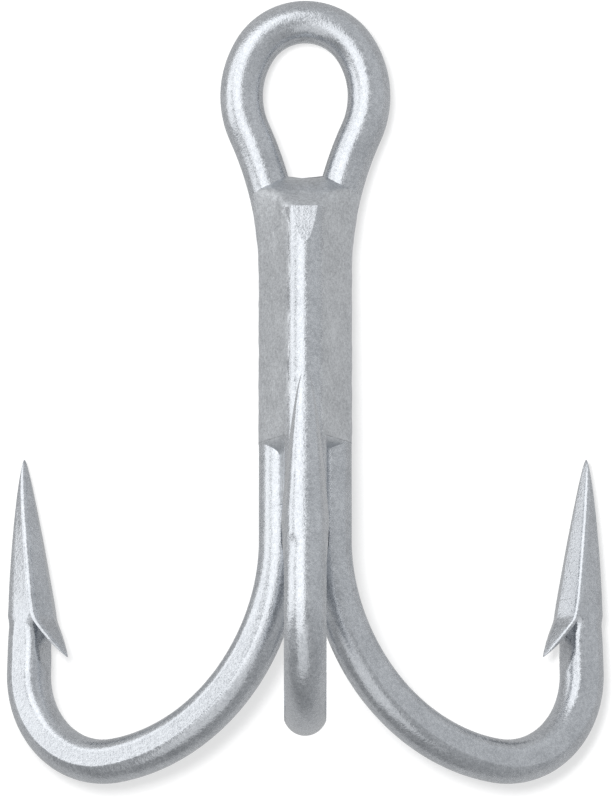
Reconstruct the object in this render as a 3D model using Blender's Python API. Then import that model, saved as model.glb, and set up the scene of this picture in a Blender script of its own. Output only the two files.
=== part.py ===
"""Treble hook: two bent steel wires, brazed together along the shank.

Frame: the origin is the centre of the eye's hole, +Z runs up the shank towards the eye, the eye lies in
the XZ plane, and the single hook opens towards -Y. Lengths are in millimetres until they reach a mesh.
"""
import math

import bmesh
import bpy
from mathutils import Matrix, Vector

MM = 0.001

# Wire
WIRE_R = 1.6
PRESSED_R = 1.66        # half the depth of the hooks, where the wire is pressed
AROUND_FACE = 6         # mesh steps across the gap side of the wire
AROUND_BACK = 18        # mesh steps around the rest of it

# Shank: three wires around one axis, each pair a little apart
HOOK_AZIMUTH = math.radians(30)
SHANK_GAP = 0.5
SHANK_X = WIRE_R + SHANK_GAP / 2
BUNDLE_R = SHANK_X / math.cos(HOOK_AZIMUTH)
BUNDLE_Y = -BUNDLE_R / 2
SINGLE_TOP_Z = -8.0     # upper end of the single wire, cut off square
BEVEL_LENGTH = 2.3      # of the shallow bevel on the crest of that end
BEVEL_DEPTH = 0.3

# Eye, as its centre line: a tight crown, fuller sides, and a neck back in to the shank
EYE_TOP_Z = 7.02
CROWN_R, CROWN_TURN = 4.4, math.radians(58)
SIDE_R, SIDE_TURN = 6.85, math.radians(56)
NECK_TURN = CROWN_TURN + SIDE_TURN - math.pi / 2

# Hook, as its centre line: an open flare, a tighter bend, and a straight point that leans back in
FLARE_Z = -32.4
FLARE_R, FLARE_TURN = 15.55, math.radians(85)
BEND_R, BEND_TURN = 7.1, math.radians(97)
POINT_LENGTH = 16.2

# Point: lengths along it are from its tip, and heights are towards the shank from the wire's centre
TIP_OFF = -1.08         # the tip is on the outer side of the centre line
FACE_SLOPE = 0.193      # of the peaked face between the tip and the barb
FACE_PEAK = 0.4         # height of the ridge along the face, as a share of the half width
SPEAR_LENGTH = 10.7     # over which the point grows to the full wire
TIP_R = 0.04
BARB_FROM = 11.4        # where the face starts to lift into the barb
BARB_ROOT = 12.4        # upper end of the slot behind the barb
BARB_TIP = 15.4
ROUND_AGAIN = 16.15     # from here down the wire is whole
SLOT_END = 16.6
SLOT_FLOOR = 1.12       # height of the slot's floor at the root
SLOT_EXIT = 1.7         # and where it leaves the wire
ROOT_RISE = 1.28        # height of the barb's underside at the root
BARB_RISE = 3.42        # and at the barb's tip
BARB_HALF_WIDTH = 1.55

# Braze
CLEARANCE = 0.05        # left between the braze and each wire
BRAZE_TOP_Z = -5.2
BRAZE_END_Z = -26.0
BRAZE_FADE = 1.0        # length over which its lower end thins out
BRAZE_DEPTH = 1.46      # from a line between two wires' centres out to the valley's surface
SADDLE_DEPTH = 1.1      # the same at the saddle, between the two legs of the eye
SADDLE_FOOT_Z = -8.7    # where the saddle's ramp reaches the single wire

# Colours, linear
PLATING = (0.42, 0.43, 0.44)
BRAZE_PLATING = (0.38, 0.39, 0.40)


def smooth(x):
    """Return a ramp from 0 to 1 with level ends."""
    x = min(max(x, 0.0), 1.0)
    return x * x * (3 - 2 * x)


def walk(a, z, heading, moves):
    """Return (a, z, heading) along arcs and straights; heading 0 is down, and it turns towards +a.

    A move is (radius, turn, steps) for an arc or (length, None, steps) for a straight.
    """
    places = []
    for size, turn, steps in moves:
        for _ in range(steps):
            step = size / steps if turn is None else 2 * size * math.sin(abs(turn) / steps / 2)
            half = 0.0 if turn is None else turn / steps / 2
            a += step * math.sin(heading + half)
            z -= step * math.cos(heading + half)
            heading += 2 * half
            places.append((a, z, heading))
    return places


def round_section(high, wide):
    """Return (height, side) pairs around a wire, starting on the gap side."""
    steps = AROUND_FACE + AROUND_BACK
    angles = [(i - AROUND_FACE / 2) * math.tau / steps for i in range(steps)]
    return [(high * math.cos(t), wide * math.sin(t)) for t in angles]


def spear_section(s):
    """Return the section at the distance s from the tip: peaked on the gap side, half round behind."""
    grown = min(s / SPEAR_LENGTH, 1.0)
    outer = -TIP_OFF + (PRESSED_R + TIP_OFF) * (1 - (1 - grown) ** 2.2)
    half_width = max(PRESSED_R * grown ** 0.55, TIP_R)
    face = TIP_OFF + TIP_R + FACE_SLOPE * min(s, BARB_FROM)
    peaked = []
    for i in range(AROUND_FACE + 1):
        across = 2 * i / AROUND_FACE - 1
        peaked.append((face + FACE_PEAK * half_width * (1 - abs(across)), half_width * across))
    turns = [math.pi * i / AROUND_BACK for i in range(1, AROUND_BACK)]
    back = [(face - (face + outer) * math.sin(t), half_width * math.cos(t)) for t in turns]
    return peaked + back


def barb_underside(s):
    """Return the height of the barb's underside at the distance s from the tip."""
    return ROOT_RISE + (BARB_RISE - ROOT_RISE) * (s - BARB_ROOT) / (BARB_TIP - BARB_ROOT)


def barb_section(s):
    """Return the section through the barb and the wire behind it, before the slot parts them."""
    turned_round = smooth((s - BARB_FROM) / (BARB_TIP - BARB_FROM))
    pairs = zip(spear_section(s), round_section(PRESSED_R, WIRE_R))
    section = [(p[0] + (q[0] - p[0]) * turned_round, p[1] + (q[1] - p[1]) * turned_round) for p, q in pairs]
    left = min(max((BARB_TIP - s) / (BARB_TIP - BARB_ROOT), 0.0), 1.0)
    lifted = smooth((s - BARB_FROM) / (BARB_ROOT - BARB_FROM))
    edge = section[0][0] + (barb_underside(s) - 0.1 - section[0][0]) * lifted
    half_width = max(BARB_HALF_WIDTH * left ** 0.8, 0.08)
    for i in range(1, AROUND_FACE):
        across = (2 * i / AROUND_FACE - 1) * (1 + lifted * 2 / (AROUND_FACE - 2))
        peak = (0.1 * lifted + FACE_PEAK * half_width) * (1 - abs(across))
        arch = (edge + peak, half_width * across)
        fallen = smooth((s - BARB_TIP) / (ROUND_AGAIN - BARB_TIP))
        whole = round_section(PRESSED_R, WIRE_R)[i]
        section[i] = (arch[0] + (whole[0] - arch[0]) * fallen, arch[1] + (whole[1] - arch[1]) * fallen)
    return section


def place(a, z, heading, section, turned=0.0):
    """Return a section's points at a place in the right hook's plane, turned back towards the eye's."""
    out = Vector((math.cos(HOOK_AZIMUTH), math.sin(HOOK_AZIMUTH), 0))
    centre = Vector((0, BUNDLE_Y, z)) + out * a
    out = Vector((math.cos(HOOK_AZIMUTH - turned), math.sin(HOOK_AZIMUTH - turned), 0))
    side = Vector((-out.y, out.x, 0))
    gap = out * math.cos(heading) + Vector((0, 0, math.sin(heading)))
    return [centre + gap * high + side * wide for high, wide in section]


def eye_rings(grow=0.0):
    """Return rings of the right half of the eye, from the middle of its crown to the shank."""
    moves = [(CROWN_R, -CROWN_TURN, 9), (SIDE_R, -SIDE_TURN, 8)]
    loop = [(0.0, EYE_TOP_Z, math.pi / 2)]
    loop += walk(*loop[0], moves)
    x, z, heading = loop[-1]
    neck_r = (x - SHANK_X) / (1 - math.cos(NECK_TURN))
    loop += walk(x, z, heading, [(neck_r, NECK_TURN, 8)])
    section = round_section(WIRE_R + grow, WIRE_R + grow)
    rings = []
    for x, z, heading in loop:
        gap = Vector((math.cos(heading), 0, math.sin(heading)))
        rings.append([Vector((x, wide, z)) + gap * high for high, wide in section])
    return rings


def shank_rings(top_z, steps, twist, grow=0.0):
    """Return rings down the straight shank, turning by the twist from the eye's plane to the hook's."""
    section = round_section(WIRE_R + grow, WIRE_R + grow)
    rings = []
    for i in range(steps + 1):
        left = 1 - i / steps
        rings.append(place(BUNDLE_R, FLARE_Z + (top_z - FLARE_Z) * left, 0.0, section, twist * left))
    return rings


def bend_walk():
    """Return the places along the flare and the bend."""
    return walk(BUNDLE_R, FLARE_Z, 0.0, [(FLARE_R, FLARE_TURN, 15), (BEND_R, BEND_TURN, 15)])


def bend_rings():
    """Return rings along the flare and the bend, where the round wire becomes the pressed one."""
    rings = []
    for a, z, heading in bend_walk():
        high = WIRE_R + (PRESSED_R - WIRE_R) * smooth(heading / FLARE_TURN * 2)
        rings.append(place(a, z, heading, round_section(high, WIRE_R)))
    return rings


def point_ring(s, section):
    """Return a section's points on the straight point, at the distance s from its tip."""
    a, z, heading = bend_walk()[-1]
    along = POINT_LENGTH - s
    return place(a + along * math.sin(heading), z - along * math.cos(heading), heading, section)


def point_rings():
    """Return rings from the end of the bend, past the barb, to the tip."""
    barb = [ROUND_AGAIN, 15.9, 15.65, BARB_TIP, 15.0, 14.5, 13.9, 13.3, 12.75, 12.2, 11.9, 11.65]
    spear = [BARB_FROM] + [SPEAR_LENGTH * (1 - i / 10) ** 1.5 for i in range(11)]
    rings = [point_ring(s, barb_section(s)) for s in barb]
    return rings + [point_ring(s, spear_section(s)) for s in spear]


def slot_rings():
    """Return the end outlines of the wedge that frees the barb from the wire."""
    wedge = [(BARB_ROOT, SLOT_FLOOR), (SLOT_END, SLOT_EXIT), (SLOT_END, barb_underside(SLOT_END))]
    wedge.append((BARB_ROOT, barb_underside(BARB_ROOT)))
    reach = 2 * WIRE_R
    return [[point_ring(s, [(high, side)])[0] for s, high in wedge] for side in (-reach, reach)]


def braze_rings():
    """Return outlines of the braze from its saddle down; their corners lie inside the wires."""
    outward = Vector((math.cos(-HOOK_AZIMUTH), math.sin(-HOOK_AZIMUTH), 0))
    neck = [sum(ring, Vector()) / len(ring) for ring in eye_rings()]
    steps = [BRAZE_TOP_Z - 0.5 * i for i in range(9)]
    rings = []
    for z in steps + [-12.0, -16.0, BRAZE_END_Z + BRAZE_FADE, BRAZE_END_Z]:
        leg_x = SHANK_X
        for upper, lower in zip(neck, neck[1:]):
            if lower.z <= z <= upper.z:
                leg_x = upper.lerp(lower, (upper.z - z) / (upper.z - lower.z)).x
        full = smooth((SADDLE_FOOT_Z + 2.2 - z) / 2.2)
        fade = 1.0 - 0.3 * smooth((BRAZE_END_Z + BRAZE_FADE - z) / BRAZE_FADE)
        leg = Vector((leg_x, 0, z))
        single = Vector((0, BUNDLE_Y - BUNDLE_R, z))
        back = leg + Vector((0, SADDLE_DEPTH + (BRAZE_DEPTH - SADDLE_DEPTH) * full, 0)) * fade
        front = leg + Vector((0, -SADDLE_DEPTH, 0))
        valley_top = front.lerp(leg + outward * BRAZE_DEPTH * fade, full)
        middle = Vector((leg_x / 2, -SADDLE_DEPTH, z))
        valley_foot = middle.lerp(single + outward * BRAZE_DEPTH * fade, full)
        right = [back, valley_top, valley_foot]
        rings.append(right + [Vector((-p.x, p.y, p.z)) for p in reversed(right)])
    return rings


def mirrored(rings):
    """Return the rings mirrored in X, from last to first."""
    return [[Vector((-p.x, p.y, p.z)) for p in ring] for ring in reversed(rings)]


def to_front(rings):
    """Return the right hook's rings turned about the bundle's axis, to open towards -Y."""
    axis = Vector((0, BUNDLE_Y, 0))
    turn = Matrix.Rotation(-math.pi / 2 - HOOK_AZIMUTH, 4, "Z")
    return [[turn @ (p - axis) + axis for p in ring] for ring in rings]


def ring_solid(name, rings):
    """Make a closed solid through rings of points, capped at both ends."""
    bm = bmesh.new()
    loops = [[bm.verts.new(p * MM) for p in ring] for ring in rings]
    count = len(loops[0])
    for first, second in zip(loops, loops[1:]):
        for i in range(count):
            j = (i + 1) % count
            bm.faces.new((first[i], first[j], second[j], second[i])).smooth = True
    bm.faces.new(loops[0])
    bm.faces.new(loops[-1])
    bmesh.ops.recalc_face_normals(bm, faces=bm.faces)
    mesh = bpy.data.meshes.new(name)
    bm.to_mesh(mesh)
    bm.free()
    mesh.set_sharp_from_angle(angle=math.radians(40))
    solid = bpy.data.objects.new(name, mesh)
    bpy.context.scene.collection.objects.link(solid)
    return solid


def cut(solid, name, rings):
    """Cut a hidden solid through the rings out of another one."""
    cutter = ring_solid(name, rings)
    cutter.hide_render = True
    cutter.display_type = "WIRE"
    boolean = solid.modifiers.new(name, "BOOLEAN")
    boolean.operation = "DIFFERENCE"
    boolean.solver = "EXACT"
    boolean.object = cutter


def plate(solid, colour, roughness):
    """Give a solid its own plated metal."""
    material = bpy.data.materials.new(solid.name + "_metal")
    material.use_nodes = True
    shader = material.node_tree.nodes["Principled BSDF"]
    shader.inputs["Base Color"].default_value = (*colour, 1)
    shader.inputs["Metallic"].default_value = 1.0
    shader.inputs["Roughness"].default_value = roughness
    solid.data.materials.append(material)


def make_double_hook():
    """Make the wire that forms the eye, two shanks and the two side hooks."""
    eye = eye_rings()
    neck_z = (sum(eye[-1], Vector()) / len(eye[-1])).z
    right = eye + shank_rings(neck_z, 6, HOOK_AZIMUTH)[1:] + bend_rings() + point_rings()
    solid = ring_solid("double_hook", mirrored(right)[:-1] + right)
    cut(solid, "right_slot", slot_rings())
    cut(solid, "left_slot", mirrored(slot_rings()))
    plate(solid, PLATING, 0.38)


def make_single_hook():
    """Make the wire that lies in front of the other one, bevelled at its upper end."""
    crest = WIRE_R - BEVEL_DEPTH
    bevelled = [(min(high, crest), wide) for high, wide in round_section(WIRE_R, WIRE_R)]
    rings = [place(BUNDLE_R, SINGLE_TOP_Z, 0.0, bevelled)]
    rings += shank_rings(SINGLE_TOP_Z - BEVEL_LENGTH, 5, 0.0)
    solid = ring_solid("single_hook", to_front(rings + bend_rings() + point_rings()))
    cut(solid, "front_slot", to_front(slot_rings()))
    plate(solid, PLATING, 0.38)


def make_braze():
    """Make the braze around and between the shanks, a hair's breadth clear of both wires."""
    solid = ring_solid("braze", braze_rings())
    eye = eye_rings(CLEARANCE)
    neck_z = (sum(eye[-1], Vector()) / len(eye[-1])).z
    right = eye + shank_rings(neck_z, 6, HOOK_AZIMUTH, CLEARANCE)[1:]
    cut(solid, "double_hook_bed", mirrored(right)[:-1] + right)
    bed = shank_rings(SINGLE_TOP_Z + CLEARANCE, 5, 0.0, CLEARANCE)
    cut(solid, "single_hook_bed", to_front(bed))
    plate(solid, BRAZE_PLATING, 0.42)


for old in list(bpy.data.objects):
    bpy.data.objects.remove(old, do_unlink=True)

make_double_hook()
make_single_hook()
make_braze()
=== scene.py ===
"""Looks of the treble hook: pressed and cut wire, braze and a satin, faintly grainy plating.

Lengths are in millimetres until they reach a mesh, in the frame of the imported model: the origin is the
centre of the eye's hole, +Z runs up the shank, and the single hook opens towards -Y.
"""
import math

import bmesh
import bpy
from mathutils import Matrix, Vector, noise


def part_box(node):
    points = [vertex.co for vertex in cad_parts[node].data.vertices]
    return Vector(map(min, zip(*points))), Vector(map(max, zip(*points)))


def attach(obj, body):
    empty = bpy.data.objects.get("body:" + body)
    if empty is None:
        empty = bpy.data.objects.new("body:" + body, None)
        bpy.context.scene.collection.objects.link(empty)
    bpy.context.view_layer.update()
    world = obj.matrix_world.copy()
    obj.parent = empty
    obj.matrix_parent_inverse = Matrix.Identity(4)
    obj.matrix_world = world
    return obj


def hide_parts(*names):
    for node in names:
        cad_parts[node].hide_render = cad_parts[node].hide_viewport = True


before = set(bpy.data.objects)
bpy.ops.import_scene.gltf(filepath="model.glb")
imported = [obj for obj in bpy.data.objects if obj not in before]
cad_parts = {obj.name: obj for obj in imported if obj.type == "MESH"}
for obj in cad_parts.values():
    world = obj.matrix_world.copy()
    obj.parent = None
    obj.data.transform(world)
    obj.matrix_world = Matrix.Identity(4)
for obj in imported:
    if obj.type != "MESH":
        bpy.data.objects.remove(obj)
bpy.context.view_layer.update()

MM = 0.001
UP = Vector((0, 0, 1))

# What the frame says
double_low, double_high = (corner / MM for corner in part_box("double_hook"))
braze_low, braze_high = (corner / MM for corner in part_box("braze"))
WIRE_R = -double_low.y              # the eye lies in the XZ plane, so its wire reaches this far forward
EYE_TOP_Z = double_high.z - WIRE_R

# Pressed wire: shares of its half depth or half width
PRESSED_R = 1.0375 * WIRE_R         # half the depth of the hooks, where the wire is pressed
FLAT_EDGE = math.radians(71)        # where the flats begin, seen from the gap side
FLAT_TOP = 0.3                      # height at which the flats end
GAP_CURVE = (0.62, 0.56)            # where the rounding leaves the flats, and where it meets the top
FLAT_STRETCH = (FLAT_TOP + math.cos(FLAT_EDGE)) / (2 * math.cos(FLAT_EDGE))

# Mesh
ACROSS = 24                         # steps over the gap side, and over the back
BESIDE = 10                         # steps over each flat
CROWDING = 0.55                     # how strongly the steps gather at the corners
SHARP_ANGLE = math.radians(32)      # edges from here on are shaded sharp

# Shank
HOOK_AZIMUTH = math.radians(30)
SHANK_GAP = 0.5
SHANK_X = WIRE_R + SHANK_GAP / 2
BUNDLE_R = SHANK_X / math.cos(HOOK_AZIMUTH)
BUNDLE_Y = -BUNDLE_R / 2
SINGLE_Y = BUNDLE_Y - BUNDLE_R
SINGLE_TOP_Z = -8.0
BEVEL_LENGTH = 2.8                  # of the flat on the crest of the single wire's upper end
BEVEL_DEPTH = 0.3
BEVEL_SKEW = math.radians(-1)       # it faces a little to the left

# Eye
CROWN_R, CROWN_TURN = 4.4, math.radians(58)
SIDE_R, SIDE_TURN = 6.85, math.radians(56)
NECK_TURN = CROWN_TURN + SIDE_TURN - math.pi / 2

# Hook
FLARE_R, FLARE_TURN = 15.55, math.radians(85)
BEND_R, BEND_TURN = 7.1, math.radians(97)
PRESS_RATE = 2.2                    # the wire is fully pressed after the flare's turn divided by this
POINT_LENGTH = 16.2
BOTTOM_DROP = FLARE_R * math.sin(FLARE_TURN) + BEND_R * (1 - math.sin(FLARE_TURN)) + PRESSED_R
FLARE_Z = double_low.z + BOTTOM_DROP

# Point: lengths along it are from its tip, and heights are towards the shank from the wire's centre
TIP_OFF = -1.08
TIP_R = 0.03
FACE_SLOPE = 0.193
FACE_PEAK = 0.40                    # height of the ridge along the face, as a share of the half width
FACE_CURVE = 1.08
SPEAR_LENGTH = 10.7
SPEAR_HALF_WIDTH = 1.71
WIDTH_GROWTH = 0.55                 # powers by which the width and the back grow from the tip
BACK_GROWTH = 2.2
CORNER = 0.28                       # radius of the corners beside the face
CORNER_SHARE = 0.35                 # and its largest share of the half width
SIDE_DEPTH = 0.58                   # share of the depth that the flat sides take
SIDE_TAPER = 0.27                   # narrowing of the sides over the whole depth
SHOULDER = 10.9                     # where the spear's width begins to return to the wire's

# Cut under the barb
BARB_ROOT = 11.9                    # where it begins
FLOOR_FROM = 12.9                   # where it reaches its floor
FLOOR_LEVEL = 14.3                  # where the floor begins to rise
FLOOR_END = 16.15                   # and where it comes out of the wire
FLOOR_HEIGHT = 1.2
FLOOR_TILT = 0.05
FLOOR_CURVE = 1.6
FLOOR_ROUNDING = 0.12

# Barb
BARB_TIP = 15.25
BARB_BEND = 12.35                   # where it is bent away from the wire
BARB_BEND_SOFTNESS = 0.3
BARB_TURN_OUT = 0.51
BARB_OVER_FACE = 0.003
BARB_SUNK, BARB_SUNK_OVER = 0.25, 1.3
BARB_THICKNESS = 0.1
BARB_BELLY = 0.04
BARB_UNDERCUT = 0.96
BARB_WIDTHS = ((9.6, 1.4), (10.9, 1.71), (11.7, 1.73), (12.5, 1.68), (13.1, 1.48), (14.0, 1.02),
               (14.8, 0.48), (15.25, 0.08))

# Braze
BRAZE_TOP_Z = braze_high.z + 0.15
BRAZE_END_Z = braze_low.z - 4.0
BRAZE_FILM = 0.03                   # how far the braze lies over the wires
FULL_END_Z = braze_low.z - 0.35     # below it the braze lies deep in the valleys, deepest on the right
BRAZE_STEP = 1.2                    # length of the step down to that
LEFT_LEFT_OVER, RIGHT_LEFT_OVER, FRONT_LEFT_OVER = 0.55, 0.05, 0.5
RIGHT_SHIFT = 0.5
FRONT_INSET = 0.19                  # how far behind the single wire the braze is centred
THIN_TOP = 0.85                     # share of its width that the braze has at its top
THIN_FROM, THIN_OVER = 0.05, 0.9
BACK_REACH, BACK_FALL, BACK_CURVE = 1.75, 0.9, 0.6
BACK_ROUNDING = 0.3
SADDLE_FALL = 3.0                   # from the top of the saddle to the single wire's end
SADDLE_REACH = 4.2                  # how far forward the saddle comes there
SADDLE_CURVE = 0.47
SADDLE_SAG = 0.06
SADDLE_ROUNDING = 0.8
RIM_LIFT, RIM_LIFT_OVER, RIM_LIFT_X, RIM_LIFT_MOST = 0.2, 1.2, 1.3, 1.5
BEVEL_CLEARANCE = 0.08
LUMP_HEIGHT, LUMP_PITCH = 0.035, 0.9
RIPPLE_HEIGHT, RIPPLE_PITCH = 0.014, 3.1
HULL_STEPS = 240
OUTLINE_STEPS = 128

# Plating: cells of its patterns to the metre
CLOUDS = 500
COARSE = 3500
CRYSTALS = 7000
FINE = 9000
TONE_RANGE = (0.36, 0.64)
GLOSS_RANGE = (-0.06, 0.08)
RELIEF = 0.03

# Camera: square on to the surface that the hook lies on
VIEW_RISE = math.radians(-10.66)    # seen from a little below the horizon of the shank
DISTANCE = 594
LENS = 360
SENSOR = 36
TARGET = Vector((0.163, BUNDLE_Y, -22.04))

# Floor and room
FLOOR_GAP = 5.0                     # between the points' tips and the surface, and behind the eye
FLOOR_SIZE = 260
ROOM_BELOW = 0.32
ROOM_ABOVE = 0.55
ROOM_RIGHT = 1.2                    # how much paler the room is on the right

# Lights: azimuth and rise in degrees, width and height, and power
LIT = Vector((0, BUNDLE_Y, -22))
LIGHT_DISTANCE = 500
HOOK_LIGHTS = (
    ("key", -26, 13, (425, 720), 0.95),
    ("side", -87, 18, (570, 460), 0.75),
    ("fill", -16, -44, (460, 420), 0.29),
)
SHADOW_LIGHT = ("cast", -2.3, -8.3, (32, 32), 1.8)


def smooth(x):
    """Return a ramp from 0 to 1 with level ends."""
    x = min(max(x, 0.0), 1.0)
    return x * x * (3 - 2 * x)


def mix(a, b, t):
    """Return the value at t on the way from a to b."""
    return a + (b - a) * t


def softly(a, b, reach):
    """Return the smaller of two numbers, rounded off where they are within the reach of each other."""
    near = max(reach - abs(a - b), 0.0) / reach
    return min(a, b) - near * near * reach / 4


def between(pairs, x):
    """Return the value at x in a table of (x, value) pairs."""
    for (x0, y0), (x1, y1) in zip(pairs, pairs[1:]):
        if x <= x1:
            return mix(y0, y1, max(x - x0, 0.0) / (x1 - x0))
    return pairs[-1][1]


def bezier(points, t):
    """Return the point at t on the cubic curve with these four control points."""
    weights = ((1 - t) ** 3, 3 * t * (1 - t) ** 2, 3 * t * t * (1 - t), t ** 3)
    return tuple(sum(w * p[i] for w, p in zip(weights, points)) for i in (0, 1))


def crowd(i, steps):
    """Return i / steps, moved towards the nearer end, so that corners get the finer mesh."""
    t = i / steps
    return t - math.sin(math.tau * t) / math.tau * CROWDING


def levels_between(top, bottom, steps):
    """Return evenly spaced heights, from the first to the last."""
    return [mix(top, bottom, i / steps) for i in range(steps + 1)]


def walk(a, z, heading, moves):
    """Return (a, z, heading) along arcs; heading 0 is down, and it turns towards +a.

    A move is (radius, turn, steps).
    """
    places = []
    for radius, turn, steps in moves:
        for _ in range(steps):
            step = 2 * radius * math.sin(abs(turn) / steps / 2)
            half = turn / steps / 2
            a += step * math.sin(heading + half)
            z -= step * math.cos(heading + half)
            heading += 2 * half
            places.append((a, z, heading))
    return places


def section_angles():
    """Return the angles around the wire, from one flat's edge over the gap side and back to it."""
    over = [mix(-FLAT_EDGE, FLAT_EDGE, crowd(i, ACROSS)) for i in range(ACROSS)]
    beside = [mix(FLAT_EDGE, math.pi - FLAT_EDGE, crowd(i, BESIDE)) for i in range(BESIDE)]
    return over + beside + [t + math.pi for t in over + beside]


def wire_section(high, wide, pressed=0.0):
    """Return (height, side) pairs around a wire. Pressed, it has flat sides, rounder towards the gap."""
    edge = wide * math.sin(FLAT_EDGE)
    leave, meet = GAP_CURVE
    corner = ((FLAT_TOP * high, edge), (leave * high, edge), (high, meet * wide), (high, 0.0))
    pairs = []
    for i, t in enumerate(section_angles()):
        round_pair = (high * math.cos(t), wide * math.sin(t))
        if i <= ACROSS:
            along = abs(2 * crowd(i, ACROSS) - 1)
            height, side = bezier(corner, 1 - along)
            flat_pair = (height, math.copysign(side, t))
        elif abs(math.sin(t)) >= math.sin(FLAT_EDGE) - 1e-9:
            down = FLAT_TOP * high + (high * math.cos(t) - high * math.cos(FLAT_EDGE)) * FLAT_STRETCH
            flat_pair = (down, math.copysign(edge, math.sin(t)))
        else:
            flat_pair = round_pair
        pairs.append(tuple(mix(p, q, pressed) for p, q in zip(round_pair, flat_pair)))
    return pairs


def face_height(s):
    """Return the height of the face's edges at the distance s from the tip."""
    return TIP_OFF + TIP_R + FACE_SLOPE * s


def peaked(across, half_width):
    """Return the height of the peaked face above its edges, with rounded corners beside it."""
    corner = min(CORNER, CORNER_SHARE * half_width)
    over = max(abs(across) - 1 + corner / half_width, 0.0) * half_width / corner
    dropped = corner * (1 - math.sqrt(max(1 - over * over, 0.0)))
    return FACE_PEAK * half_width * (1 - abs(across) ** FACE_CURVE) - dropped


def spear_section(s):
    """Return the section at the distance s from the tip: a peaked face, flat sides and a round back."""
    grown = min(max(s, 0.002) / SPEAR_LENGTH, 1.0)
    outer = -TIP_OFF + (PRESSED_R + TIP_OFF) * (1 - (1 - grown) ** BACK_GROWTH)
    half_width = max(SPEAR_HALF_WIDTH * grown ** WIDTH_GROWTH, TIP_R)
    face = face_height(min(s, BARB_ROOT))
    pairs = []
    for i in range(ACROSS + 1):
        across = 2 * crowd(i, ACROSS) - 1
        pairs.append((face + peaked(across, half_width), half_width * across))
    start = pairs[0][0]
    depth = start + outer
    arch = 2 * BESIDE + ACROSS
    for i in range(1, arch):
        j = min(i, arch - i)
        if j <= BESIDE:
            back = SIDE_DEPTH * j / BESIDE
            side = 1 - SIDE_TAPER * back
        else:
            t = 2 * (j - BESIDE) / ACROSS
            back = (1 - t) ** 2 * SIDE_DEPTH + 2 * t * (1 - t) + t * t
            side = (1 - t) ** 2 * (1 - SIDE_TAPER * SIDE_DEPTH) + 2 * t * (1 - t) * (1 - SIDE_TAPER)
        pairs.append((start - depth * back, math.copysign(half_width * side, arch / 2 - i)))
    return pairs


def floor_height(s):
    """Return the height of the floor of the cut under the barb."""
    if s < FLOOR_LEVEL:
        return FLOOR_HEIGHT + FLOOR_TILT * (s - FLOOR_FROM) / (FLOOR_LEVEL - FLOOR_FROM)
    risen = (s - FLOOR_LEVEL) / (FLOOR_END - FLOOR_LEVEL)
    level = FLOOR_HEIGHT + FLOOR_TILT
    return level + (PRESSED_R - level) * risen ** FLOOR_CURVE


def neck_section(s):
    """Return the section between the spear and the bend, where the barb has been lifted off."""
    whole = wire_section(PRESSED_R, WIRE_R, 1.0)
    floor = floor_height(s)
    cut_down = [(softly(high, floor, FLOOR_ROUNDING), side) for high, side in whole]
    lowered = smooth((s - BARB_ROOT) / (FLOOR_FROM - BARB_ROOT))
    narrowed = smooth((s - SHOULDER) / (FLOOR_LEVEL - SHOULDER))
    return [(mix(p[0], q[0], lowered), mix(p[1], q[1], narrowed)) for p, q in zip(spear_section(s), cut_down)]


def barb_section(s):
    """Return the section of the barb's tongue: peaked above, flat below."""
    bend = s - BARB_BEND
    edge = face_height(s) + BARB_OVER_FACE + BARB_TURN_OUT / 2 * (bend + math.hypot(bend, BARB_BEND_SOFTNESS))
    edge -= BARB_SUNK * smooth((SHOULDER - s) / BARB_SUNK_OVER)
    half_width = between(BARB_WIDTHS, s)
    pairs = []
    for i in range(ACROSS + 1):
        across = 2 * crowd(i, ACROSS) - 1
        pairs.append((edge + peaked(across, half_width), half_width * across))
    under = edge - BARB_THICKNESS * min(half_width, 1.0)
    rest = 2 * BESIDE + ACROSS
    for i in range(1, rest):
        across = 1 - 2 * i / rest
        belly = BARB_BELLY * half_width * (1 - across * across)
        pairs.append((under - belly, half_width * BARB_UNDERCUT * across))
    return pairs


def place(a, z, heading, section, turned=0.0):
    """Return a section's points at a place in the right hook's plane, turned back towards the eye's."""
    out = Vector((math.cos(HOOK_AZIMUTH), math.sin(HOOK_AZIMUTH), 0))
    centre = Vector((0, BUNDLE_Y, z)) + out * a
    out = Vector((math.cos(HOOK_AZIMUTH - turned), math.sin(HOOK_AZIMUTH - turned), 0))
    side = Vector((-out.y, out.x, 0))
    gap = out * math.cos(heading) + UP * math.sin(heading)
    return [centre + gap * high + side * wide for high, wide in section]


def eye_rings():
    """Return rings of the right half of the eye, from the middle of its crown to the shank."""
    loop = [(0.0, EYE_TOP_Z, math.pi / 2)]
    loop += walk(*loop[0], [(CROWN_R, -CROWN_TURN, 26), (SIDE_R, -SIDE_TURN, 24)])
    x, z, heading = loop[-1]
    neck_r = (x - SHANK_X) / (1 - math.cos(NECK_TURN))
    loop += walk(x, z, heading, [(neck_r, NECK_TURN, 20)])
    section = wire_section(WIRE_R, WIRE_R)
    rings = []
    for x, z, heading in loop:
        gap = Vector((math.cos(heading), 0, math.sin(heading)))
        rings.append([Vector((x, wide, z)) + gap * high for high, wide in section])
    return rings


def centre_of(ring):
    """Return the middle of a ring of points."""
    return sum(ring, Vector()) / len(ring)


def shank_rings(levels, twist):
    """Return rings down the straight shank, turning by the twist from the eye's plane to the hook's."""
    section = wire_section(WIRE_R, WIRE_R)
    rings = []
    for z in levels:
        left = (z - FLARE_Z) / (levels[0] - FLARE_Z)
        rings.append(place(BUNDLE_R, z, 0.0, section, twist * left))
    return rings


def bend_walk():
    """Return the places along the flare and the bend."""
    return walk(BUNDLE_R, FLARE_Z, 0.0, [(FLARE_R, FLARE_TURN, 60), (BEND_R, BEND_TURN, 54)])


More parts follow.
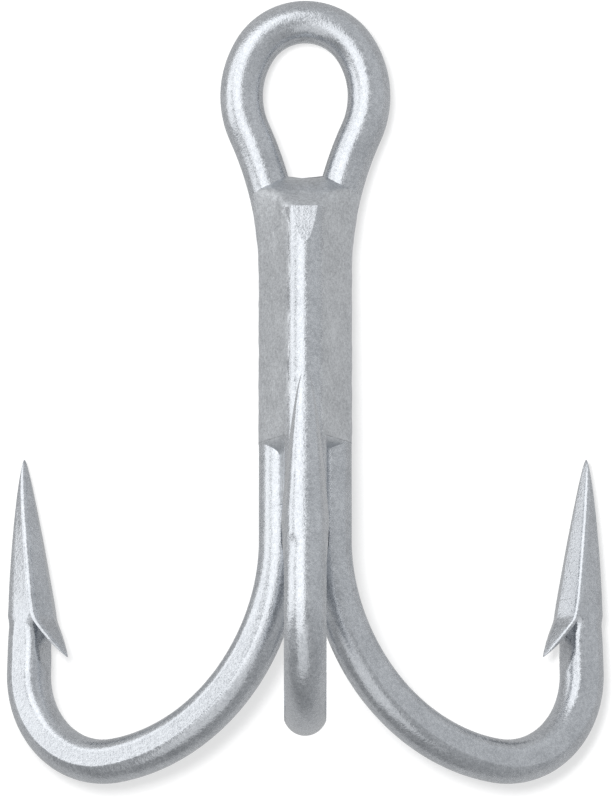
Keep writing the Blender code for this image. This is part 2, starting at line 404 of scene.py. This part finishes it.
def bend_rings():
    """Return rings along the flare and the bend, where the round wire becomes the pressed one."""
    rings = []
    for a, z, heading in bend_walk():
        pressed = smooth(heading / FLARE_TURN * PRESS_RATE)
        high = mix(WIRE_R, PRESSED_R, pressed)
        rings.append(place(a, z, heading, wire_section(high, WIRE_R, pressed)))
    return rings


def point_ring(s, section):
    """Return a section's points on the straight point, at the distance s from its tip."""
    a, z, heading = bend_walk()[-1]
    along = POINT_LENGTH - s
    return place(a + along * math.sin(heading), z - along * math.cos(heading), heading, section)


def point_rings():
    """Return rings from the end of the bend, past the root of the barb, to the tip."""
    neck = levels_between(FLOOR_END, FLOOR_FROM, 30) + levels_between(FLOOR_FROM - 0.06, SHOULDER, 24)
    spear = [SHOULDER - 0.1] + [SPEAR_LENGTH * (1 - i / 40) ** 1.5 for i in range(41)]
    rings = [point_ring(s, neck_section(s)) for s in neck]
    return rings + [point_ring(s, spear_section(s)) for s in spear]


def barb_rings():
    """Return rings along the tongue of the barb, from inside the wire to its tip."""
    return [point_ring(s, barb_section(s)) for s in levels_between(BARB_WIDTHS[0][0], BARB_TIP, 60)]


def mirrored(rings):
    """Return the rings mirrored in X, from last to first."""
    return [[Vector((-p.x, p.y, p.z)) for p in ring] for ring in reversed(rings)]


def to_front(rings):
    """Return the right hook's rings turned about the bundle's axis, to open towards -Y."""
    axis = Vector((0, BUNDLE_Y, 0))
    turn = Matrix.Rotation(-math.pi / 2 - HOOK_AZIMUTH, 4, "Z")
    return [[turn @ (p - axis) + axis for p in ring] for ring in rings]


def ring_solid(name, rings):
    """Make a closed solid through rings of points, capped at both ends."""
    bm = bmesh.new()
    loops = [[bm.verts.new(p * MM) for p in ring] for ring in rings]
    count = len(loops[0])
    for first, second in zip(loops, loops[1:]):
        for i in range(count):
            j = (i + 1) % count
            bm.faces.new((first[i], first[j], second[j], second[i]))
    bm.faces.new(loops[0])
    bm.faces.new(loops[-1])
    bmesh.ops.recalc_face_normals(bm, faces=bm.faces)
    return new_object(name, bm)


def new_object(name, bm):
    """Make an object of a bmesh, and free the bmesh."""
    mesh = bpy.data.meshes.new(name)
    bm.to_mesh(mesh)
    bm.free()
    made = bpy.data.objects.new(name, mesh)
    bpy.context.scene.collection.objects.link(made)
    return made


def joined(name, solids):
    """Join solids into one object, shaded smooth between the edges that are really sharp."""
    bm = bmesh.new()
    for solid in solids:
        bm.from_mesh(solid.data)
        bpy.data.objects.remove(solid, do_unlink=True)
    for face in bm.faces:
        face.smooth = True
    for edge in bm.edges:
        edge.smooth = edge.smooth and edge.calc_face_angle(0.0) < SHARP_ANGLE
    return new_object(name, bm)


def make_double_hook():
    """Make the wire with the eye and the two side hooks."""
    eye = eye_rings()
    shank = shank_rings(levels_between(centre_of(eye[-1]).z, FLARE_Z, 24), HOOK_AZIMUTH)[1:]
    right = eye + shank + bend_rings() + point_rings()
    barb = barb_rings()
    wires = [mirrored(right)[:-1] + right, barb, mirrored(barb)]
    return joined("double_hook_wire", [ring_solid("part", rings) for rings in wires])


def bevel_end(solid):
    """Cut the shallow flat into the crest of the single wire's upper end."""
    lean = math.atan2(BEVEL_DEPTH, BEVEL_LENGTH)
    front = Vector((math.sin(BEVEL_SKEW), -math.cos(BEVEL_SKEW), 0))
    foot = Vector((0, SINGLE_Y, SINGLE_TOP_Z - BEVEL_LENGTH)) + front * WIRE_R
    facing = front * math.cos(lean) + UP * math.sin(lean)
    bm = bmesh.new()
    bm.from_mesh(solid.data)
    top = [f for f in bm.faces if min(v.co.z for v in f.verts) > (foot.z - 1.0) * MM]
    around = list({e for f in top for e in f.edges} | {v for f in top for v in f.verts})
    cut = bmesh.ops.bisect_plane(bm, geom=top + around, dist=1e-8, plane_co=foot * MM, plane_no=facing,
                                 clear_outer=True)
    rim = [e for e in cut["geom_cut"] if isinstance(e, bmesh.types.BMEdge)]
    bmesh.ops.holes_fill(bm, edges=rim)
    for edge in rim:
        edge.smooth = False
    bm.to_mesh(solid.data)
    bm.free()


def make_single_hook():
    """Make the wire in front, with a shallow flat at its upper end."""
    shank = shank_rings(levels_between(SINGLE_TOP_Z, FLARE_Z, 60), 0.0)
    wire = ring_solid("part", to_front(shank + bend_rings() + point_rings()))
    bevel_end(wire)
    return joined("single_hook_wire", [wire, ring_solid("part", to_front(barb_rings()))])


def evenly(outline, count):
    """Return that many points, evenly spaced round a closed outline."""
    closed = outline + outline[:1]
    lengths = [0.0]
    for p, q in zip(closed, closed[1:]):
        lengths.append(lengths[-1] + (q - p).length)
    spaced = []
    k = 0
    for i in range(count):
        at = lengths[-1] * i / count
        while lengths[k + 1] < at:
            k += 1
        span = lengths[k + 1] - lengths[k]
        spaced.append(closed[k].lerp(closed[k + 1], (at - lengths[k]) / span if span else 0.0))
    return spaced


def braze_hull(z, neck):
    """Return the hull of three circles at a height: one about each leg and one about the front wire."""
    leg_x = SHANK_X
    for upper, lower in zip(neck, neck[1:]):
        if lower.z <= z <= upper.z:
            leg_x = mix(upper.x, lower.x, (upper.z - z) / (upper.z - lower.z))
    full = smooth((z - FULL_END_Z) / BRAZE_STEP)
    grown = smooth((BRAZE_TOP_Z - z - THIN_FROM) / THIN_OVER)
    leg_r = (WIRE_R + BRAZE_FILM) * mix(THIN_TOP, 1.0, grown)
    front_r = WIRE_R + BRAZE_FILM + FRONT_INSET / 2
    circles = [
        (leg_x - RIGHT_SHIFT * (1 - full), 0.0, leg_r * mix(RIGHT_LEFT_OVER, 1.0, full)),
        (-leg_x, 0.0, leg_r * mix(LEFT_LEFT_OVER, 1.0, full)),
        (0.0, SINGLE_Y + FRONT_INSET, front_r * mix(FRONT_LEFT_OVER, 1.0, full)),
    ]
    hull = []
    for i in range(HULL_STEPS):
        t = math.pi / 2 + math.tau * i / HULL_STEPS
        dx, dy = math.cos(t), math.sin(t)
        x, y, r = max(circles, key=lambda c: c[0] * dx + c[1] * dy + c[2])
        hull.append(Vector((x + r * dx, y + r * dy, z)))
    return hull


def braze_outline(z, neck):
    """Return the braze's outline at a height: the hull, cut back in the saddle and a little rough."""
    below_top = BRAZE_TOP_Z - z
    behind = BACK_REACH * min(below_top / BACK_FALL, 1.0) ** BACK_CURVE
    lift = RIM_LIFT * (1 - smooth(below_top / RIM_LIFT_OVER))
    flat_depth = BEVEL_DEPTH * min(max(1 - (SINGLE_TOP_Z - z) / BEVEL_LENGTH, 0.0), 1.0)
    clear_of_flat = WIRE_R - SINGLE_Y - flat_depth - (BEVEL_CLEARANCE if flat_depth else 0.0)
    outline = []
    for p in evenly(braze_hull(z, neck), OUTLINE_STEPS):
        fallen = max(below_top - SADDLE_SAG * p.x * p.x, 0.0) / SADDLE_FALL
        reach = SADDLE_REACH * fallen ** SADDLE_CURVE
        y = -min(softly(-p.y, reach, SADDLE_ROUNDING), clear_of_flat)
        y = softly(y, behind, BACK_ROUNDING)
        lumps = LUMP_HEIGHT * noise.noise(Vector((p.x, y, z)) * LUMP_PITCH)
        ripples = RIPPLE_HEIGHT * noise.noise(p * RIPPLE_PITCH)
        out = Vector((p.x, y - BUNDLE_Y, 0)).normalized()
        rise = lift * min((p.x / RIM_LIFT_X) ** 2, RIM_LIFT_MOST)
        outline.append(Vector((p.x, y, z + rise)) + out * (lumps + ripples))
    return outline


def make_braze():
    """Make the braze that fills the valleys and the saddle under the eye."""
    levels = [BRAZE_TOP_Z - t for t in (0.01, 0.04, 0.09, 0.16, 0.25, 0.36, 0.48, 0.6, 0.74, 0.88, 1.02)]
    levels += levels_between(levels[-1] - 0.12, BRAZE_TOP_Z - 4.2, 26)
    levels += levels_between(levels[-1] - 0.1, FULL_END_Z + BRAZE_STEP, 150)
    levels += levels_between(levels[-1] - 0.02, FULL_END_Z, 24)
    levels += levels_between(levels[-1] - 0.2, BRAZE_END_Z, 16)
    neck = [centre_of(ring) for ring in eye_rings()]
    return joined("braze_fill", [ring_solid("part", [braze_outline(z, neck) for z in levels])])


def node(tree, kind, **settings):
    """Add a shader node with these settings."""
    made = tree.nodes.new(kind)
    for key, value in settings.items():
        setattr(made, key, value)
    return made


def mapped(tree, value, start, end, **settings):
    """Return a value mapped from one (low, high) range to another."""
    ranged = node(tree, "ShaderNodeMapRange", **settings)
    ranged.inputs["From Min"].default_value = start[0]
    ranged.inputs["From Max"].default_value = start[1]
    ranged.inputs["To Min"].default_value = end[0]
    ranged.inputs["To Max"].default_value = end[1]
    tree.links.new(value, ranged.inputs["Value"])
    return ranged.outputs["Result"]


def speckle(tree, where, scale, detail):
    """Return a noise pattern of this many cells to the metre."""
    pattern = node(tree, "ShaderNodeTexNoise")
    pattern.inputs["Scale"].default_value = scale
    pattern.inputs["Detail"].default_value = detail
    tree.links.new(where, pattern.inputs["Vector"])
    return pattern.outputs["Fac"]


def weighted(tree, terms):
    """Return the average of several (value, weight) patterns."""
    total = sum(weight for _, weight in terms)
    running = None
    for value, weight in terms:
        term = node(tree, "ShaderNodeMath", operation="MULTIPLY" if running is None else "MULTIPLY_ADD")
        term.inputs[1].default_value = weight / total
        tree.links.new(value, term.inputs[0])
        if running is not None:
            tree.links.new(running, term.inputs[2])
        running = term.outputs[0]
    return running


def blend_shaders(tree, share, first, second):
    """Return the first shader where the share is 0 and the second where it is 1."""
    both = node(tree, "ShaderNodeMixShader")
    tree.links.new(share, both.inputs[0])
    tree.links.new(first, both.inputs[1])
    tree.links.new(second, both.inputs[2])
    return both.outputs[0]


def plated_metal(name, light, dark, rough):
    """Return a satin plating: cloudy in tone, and covered in fine crystals that break up its gloss."""
    material = bpy.data.materials.new(name)
    material.use_nodes = True
    tree = material.node_tree
    shader = tree.nodes["Principled BSDF"]
    shader.inputs["Metallic"].default_value = 1.0
    where = node(tree, "ShaderNodeTexCoord").outputs["Object"]

    clouds = speckle(tree, where, CLOUDS, 3)
    fine = speckle(tree, where, FINE, 1)
    coarse = speckle(tree, where, COARSE, 2)
    tone = weighted(tree, ((clouds, 0.5), (coarse, 0.7), (fine, 1.0)))
    ramp = node(tree, "ShaderNodeValToRGB")
    for element, position, colour in zip(ramp.color_ramp.elements, TONE_RANGE, (dark, light)):
        element.position = position
        element.color = (*colour, 1)
    tree.links.new(tone, ramp.inputs["Fac"])
    tree.links.new(ramp.outputs["Color"], shader.inputs["Base Color"])
    gloss = mapped(tree, tone, TONE_RANGE, [rough + change for change in GLOSS_RANGE])
    tree.links.new(gloss, shader.inputs["Roughness"])

    crystals = node(tree, "ShaderNodeTexVoronoi")
    crystals.inputs["Scale"].default_value = CRYSTALS
    tree.links.new(where, crystals.inputs["Vector"])
    relief = weighted(tree, ((fine, 0.8), (coarse, 1.6), (crystals.outputs["Distance"], 0.6)))
    bump = node(tree, "ShaderNodeBump")
    bump.inputs["Strength"].default_value = 0.9
    bump.inputs["Distance"].default_value = RELIEF * MM
    tree.links.new(relief, bump.inputs["Height"])
    tree.links.new(bump.outputs["Normal"], shader.inputs["Normal"])
    return material


def dress(piece, cad_node, finish):
    """Give a piece its finish, attach it to the root body, and hide the CAD part that it stands for."""
    piece.data.materials.clear()
    piece.data.materials.append(finish)
    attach(piece, "root")
    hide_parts(cad_node)


def make_camera():
    """Make the camera, with a long lens as for a catalogue picture."""
    forward = Vector((0, math.cos(VIEW_RISE), -math.sin(VIEW_RISE)))
    data = bpy.data.cameras.new("camera")
    data.lens = LENS
    data.sensor_fit = "VERTICAL"
    data.sensor_height = SENSOR
    data.clip_start = 0.01
    camera = bpy.data.objects.new("camera", data)
    camera.location = (TARGET - forward * DISTANCE) * MM
    camera.rotation_euler = forward.to_track_quat("-Z", "Y").to_euler()
    bpy.context.scene.collection.objects.link(camera)
    bpy.context.scene.camera = camera


def flat_paint(tree, tone, glow):
    """Return a matt white paint that also glows a little, so that shadows on it stay pale."""
    both = node(tree, "ShaderNodeAddShader")
    diffuse = node(tree, "ShaderNodeBsdfDiffuse")
    diffuse.inputs["Color"].default_value = (tone, tone, tone, 1)
    emission = node(tree, "ShaderNodeEmission")
    emission.inputs["Strength"].default_value = glow
    tree.links.new(diffuse.outputs[0], both.inputs[0])
    tree.links.new(emission.outputs[0], both.inputs[1])
    return both.outputs[0]


def floor_paint():
    """Return the floor's material: pale to the camera, greyer to the hook, see-through from its back."""
    material = bpy.data.materials.new("pale_floor")
    material.use_nodes = True
    tree = material.node_tree
    tree.nodes.clear()
    out = node(tree, "ShaderNodeOutputMaterial")
    seen = node(tree, "ShaderNodeLightPath").outputs["Is Camera Ray"]
    back = node(tree, "ShaderNodeNewGeometry").outputs["Backfacing"]
    paint = blend_shaders(tree, seen, flat_paint(tree, 0.25, 0.27), flat_paint(tree, 0.52, 0.52))
    sides = blend_shaders(tree, back, paint, node(tree, "ShaderNodeBsdfTransparent").outputs[0])
    tree.links.new(sides, out.inputs["Surface"])
    return material


def make_floor():
    """Make the pale surface behind the hook, square to the camera."""
    a, z, heading = bend_walk()[-1]
    tip_y = BUNDLE_Y + (a + POINT_LENGTH * math.sin(heading)) * math.sin(HOOK_AZIMUTH)
    tip_z = z - POINT_LENGTH * math.cos(heading)
    tilt = math.atan2(tip_y - WIRE_R, EYE_TOP_Z - tip_z)
    mesh = bpy.data.meshes.new("pale_floor")
    corners = [Vector((x, y, 0)) * FLOOR_SIZE * MM for x, y in ((-1, -1), (1, -1), (1, 1), (-1, 1))]
    mesh.from_pydata(corners, [], [(0, 1, 2, 3)])
    mesh.materials.append(floor_paint())
    floor = bpy.data.objects.new("pale_floor", mesh)
    floor.rotation_euler = (math.pi / 2 + tilt, 0, 0)
    floor.location = Vector((0, tip_y + FLOOR_GAP, tip_z)) * MM
    bpy.context.scene.collection.objects.link(floor)


def make_world():
    """Make the room: grey, paler overhead, and plain white where the camera sees it."""
    world = bpy.data.worlds.new("room")
    bpy.context.scene.world = world
    world.use_nodes = True
    tree = world.node_tree
    tree.nodes.clear()
    out = node(tree, "ShaderNodeOutputWorld")
    where = node(tree, "ShaderNodeTexCoord").outputs["Generated"]
    parts = node(tree, "ShaderNodeSeparateXYZ")
    tree.links.new(where, parts.inputs[0])
    ramp = {"interpolation_type": "SMOOTHSTEP"}
    height = mapped(tree, parts.outputs["Z"], (-1.0, 0.6), (ROOM_BELOW, ROOM_ABOVE), **ramp)
    rightward = mapped(tree, parts.outputs["X"], (-0.2, 0.6), (1.0, ROOM_RIGHT), **ramp)
    strength = node(tree, "ShaderNodeMath", operation="MULTIPLY")
    tree.links.new(height, strength.inputs[0])
    tree.links.new(rightward, strength.inputs[1])
    room = node(tree, "ShaderNodeBackground")
    room.inputs["Color"].default_value = (0.97, 0.985, 1.0, 1)
    tree.links.new(strength.outputs[0], room.inputs["Strength"])
    white = node(tree, "ShaderNodeBackground")
    white.inputs["Color"].default_value = (1, 1, 1, 1)
    seen = node(tree, "ShaderNodeLightPath").outputs["Is Camera Ray"]
    tree.links.new(blend_shaders(tree, seen, room.outputs[0], white.outputs[0]), out.inputs["Surface"])


def soft_light(name, azimuth, rise, size, power):
    """Add a soft light of a width and height. Azimuth 0 is the camera's side, and positive is right."""
    data = bpy.data.lights.new(name, "AREA")
    data.shape = "RECTANGLE"
    data.size = size[0] * MM
    data.size_y = size[1] * MM
    data.energy = power
    light = bpy.data.objects.new(name, data)
    a, e = math.radians(azimuth), math.radians(rise)
    away = Vector((math.sin(a) * math.cos(e), -math.cos(a) * math.cos(e), math.sin(e)))
    light.location = (LIT + away * LIGHT_DISTANCE) * MM
    light.rotation_euler = (-away).to_track_quat("-Z", "Y").to_euler()
    light.visible_camera = False
    bpy.context.scene.collection.objects.link(light)
    return light


def listed(name, objects):
    """Return a collection, outside the scene, that lists these objects for a light."""
    chosen = bpy.data.collections.new(name)
    for chosen_object in objects:
        chosen.objects.link(chosen_object)
    return chosen


def make_lights(pieces, shadow_pieces):
    """Make the lights that only the hook sees, and the one that casts its narrow shadow."""
    for settings in HOOK_LIGHTS:
        light = soft_light(*settings)
        light.light_linking.receiver_collection = listed(light.name + "_lights", pieces)
    cast = soft_light(*SHADOW_LIGHT)
    cast.visible_glossy = False
    cast.light_linking.blocker_collection = listed("cast_by", shadow_pieces)


wire_plating = plated_metal("wire_plating", (0.77, 0.795, 0.83), (0.50, 0.52, 0.55), 0.25)
# The braze's plating is paler than the wire's. The extra paleness is painted light: it stands in for
# reflections that its facets don't get from the room. Its rougher gloss is its own.
braze_plating_with_painted_light = plated_metal("braze_plating_with_painted_light", (0.87, 0.895, 0.925), (0.53, 0.55, 0.575), 0.34)
double_hook = make_double_hook()
single_hook = make_single_hook()
braze = make_braze()
dress(double_hook, "double_hook", wire_plating)
dress(single_hook, "single_hook", wire_plating)
dress(braze, "braze", braze_plating_with_painted_light)
make_camera()
make_floor()
make_world()
make_lights((double_hook, single_hook, braze), (double_hook, braze))
bpy.context.scene.view_settings.view_transform = "Standard"
